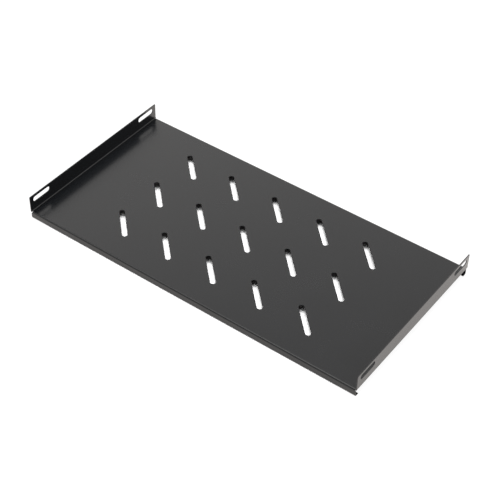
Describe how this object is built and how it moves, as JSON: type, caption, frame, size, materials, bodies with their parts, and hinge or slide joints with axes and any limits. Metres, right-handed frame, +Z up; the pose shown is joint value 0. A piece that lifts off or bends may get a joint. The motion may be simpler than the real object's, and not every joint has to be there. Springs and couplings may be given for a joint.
{
  "type": "fixed rack shelf",
  "caption": "Shallow folded sheet steel shelf for an equipment rack, with slanted ventilation slots, upturned side flanges with long bolt slots, and front and rear lips folded down and in.",
  "frame": {"origin": "on the floor plane at the middle of the shelf's bounding box, level with the undersides of the lips' returns", "axes": "+X along the width, +Y from the front lip to the rear lip, +Z up out of the deck, the way the side flanges stand"},
  "size_m": [0.497, 0.25, 0.034],
  "materials": {
    "powder_coat": "black powder coat, semi-gloss, finely textured"
  },
  "bodies": {
    "root": {"shelf": "powder_coat"}
  },
  "joints": []
}
